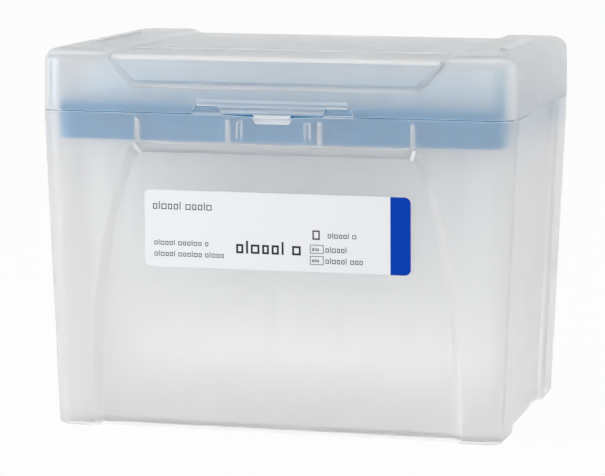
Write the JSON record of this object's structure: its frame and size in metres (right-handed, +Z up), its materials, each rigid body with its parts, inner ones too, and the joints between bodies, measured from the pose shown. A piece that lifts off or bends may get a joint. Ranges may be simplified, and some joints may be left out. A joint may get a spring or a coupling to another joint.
{
  "type": "box of pipette tips",
  "caption": "Hinged box of pipette tips: frosted plastic base with arched front panel and label, flip lid, blue tray and clear tips standing in rows",
  "frame": {"origin": "middle of the underside, on the surface that the box stands on", "axes": "+X to the right along the front, +Y to the back where the hinge is, +Z up"},
  "size_m": [0.124, 0.0898, 0.0991],
  "materials": {
    "frosted_shell": "frosted, natural polypropylene",
    "blue_tray": "satin moulded blue",
    "clear_tip": "smooth, natural polypropylene",
    "label_paper": "smooth white film",
    "label_ink": "printed blue"
  },
  "bodies": {
    "root": {"base_box": "frosted_shell", "tip_tray": "blue_tray", "label": "label_paper", "label_blue_field": "label_ink", "tips_column_01": "clear_tip", "tips_column_02": "clear_tip", "tips_column_03": "clear_tip", "tips_column_04": "clear_tip", "tips_column_05": "clear_tip", "tips_column_06": "clear_tip", "tips_column_07": "clear_tip", "tips_column_08": "clear_tip", "tips_column_09": "clear_tip", "tips_column_10": "clear_tip", "tips_column_11": "clear_tip", "tips_column_12": "clear_tip"},
    "lid": {"lid": "frosted_shell"}
  },
  "joints": [
    {"name": "lid_hinge", "type": "hinge", "parent": "root", "child": "lid", "pos_m": [0, 0.0434, 0.08085], "axis": [-1, 0, 0], "range_deg": [0, 110]}
  ]
}
